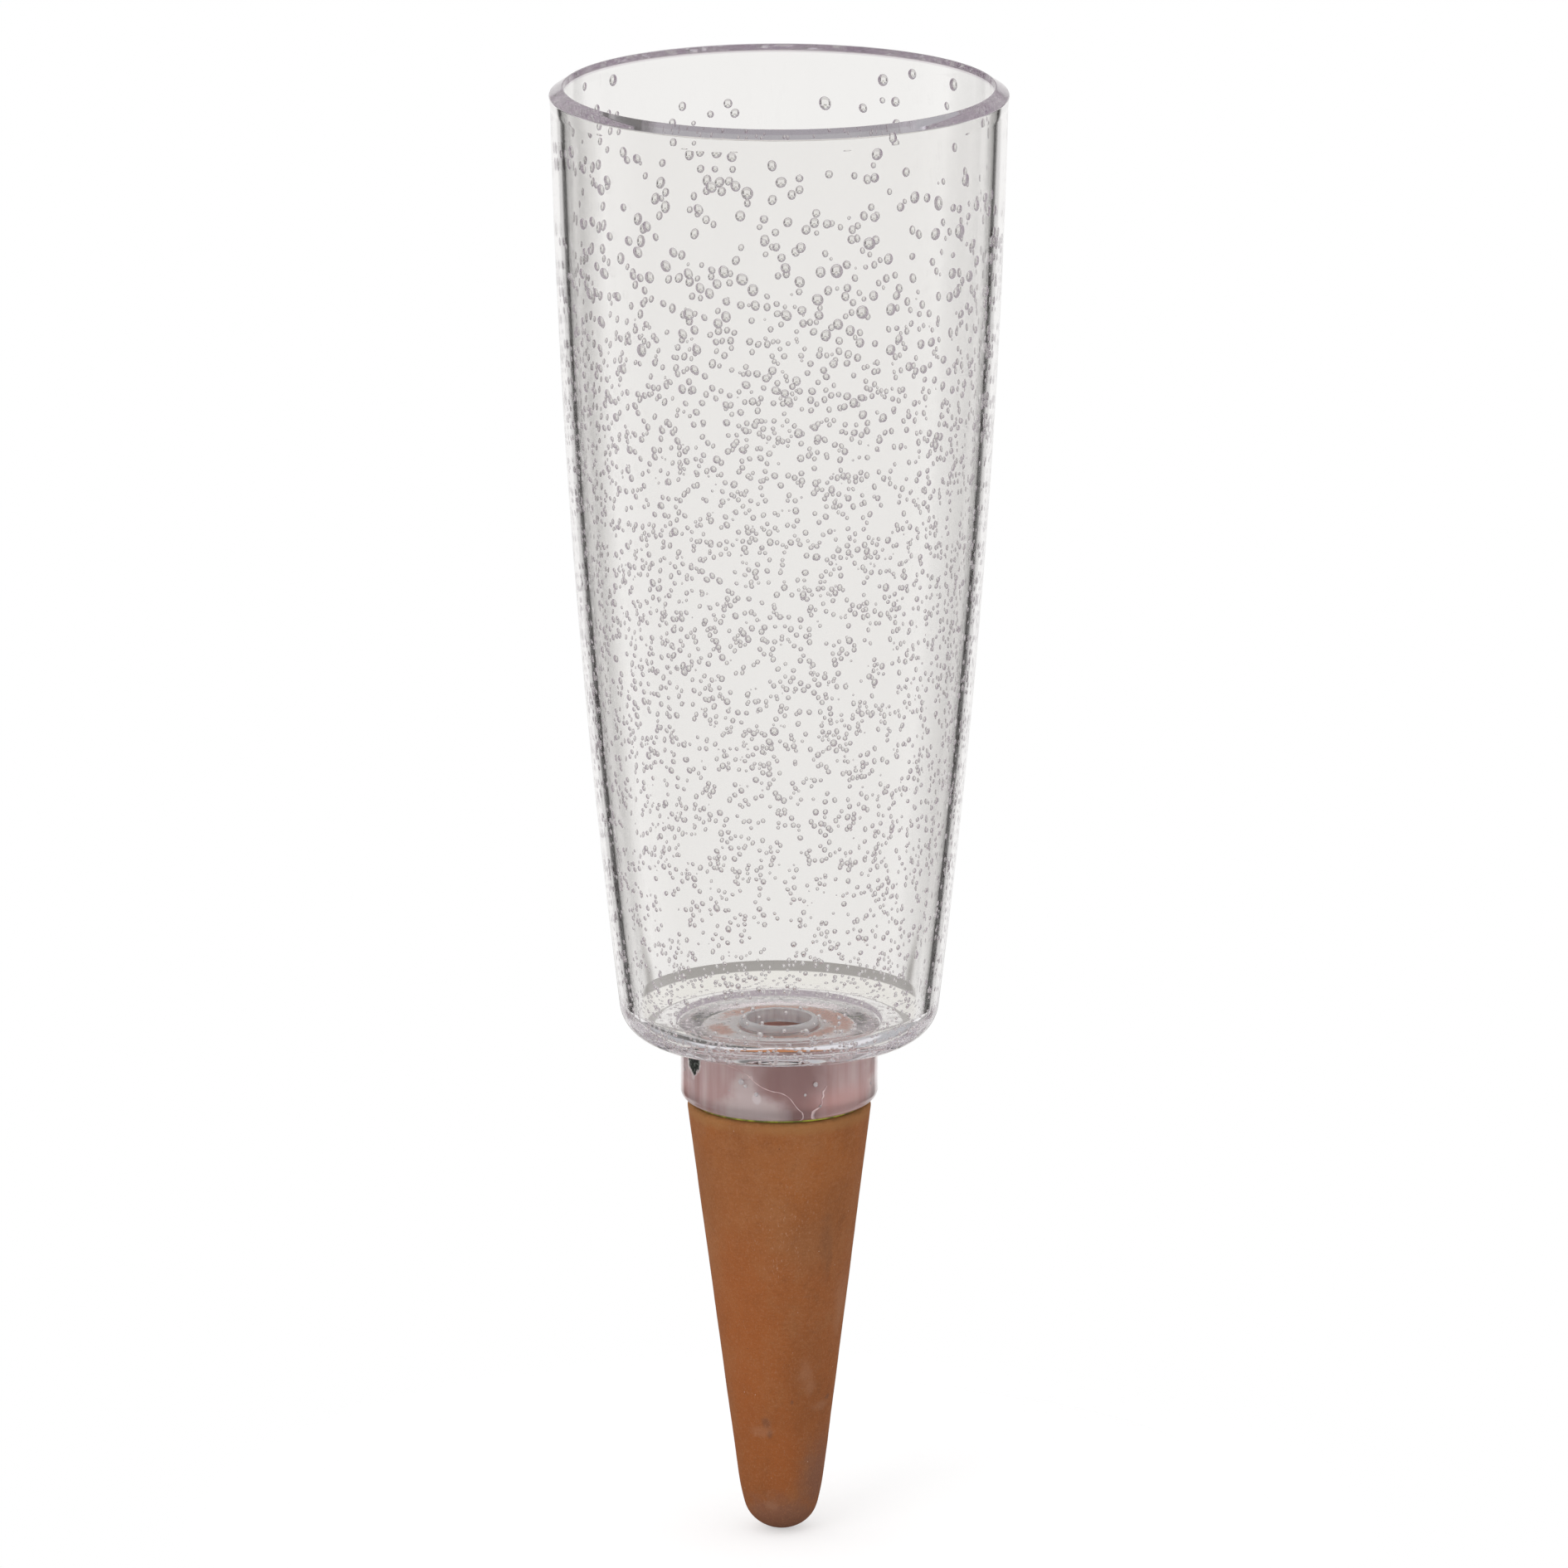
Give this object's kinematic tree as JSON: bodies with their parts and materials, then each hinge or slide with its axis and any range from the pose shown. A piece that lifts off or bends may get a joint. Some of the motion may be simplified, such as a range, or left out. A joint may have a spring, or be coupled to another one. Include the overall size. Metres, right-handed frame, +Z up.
{
  "type": "self watering spike",
  "caption": "Clear bubbled cup with a bevelled rim, bonded by its round collar onto a hollow porous clay cone that is pushed into potting soil.",
  "frame": {"origin": "lowest point of the clay tip, on the axis", "axes": "+Z up the axis, from the clay tip to the cup's rim"},
  "size_m": [0.085, 0.085, 0.2783],
  "materials": {
    "clear_plastic": "clear, glossy, with many small air bubbles moulded in",
    "milky_plastic": "milky, translucent, satin",
    "clear_adhesive": "clear cured adhesive, unevenly wetted",
    "olive_sealant": "satin",
    "fired_clay": "matte, porous, fine grained"
  },
  "bodies": {
    "root": {"reservoir_cup": "clear_plastic", "outlet_ring": "milky_plastic", "socket_bond": "clear_adhesive", "shoulder_seal": "olive_sealant", "clay_cone": "fired_clay"}
  },
  "joints": []
}
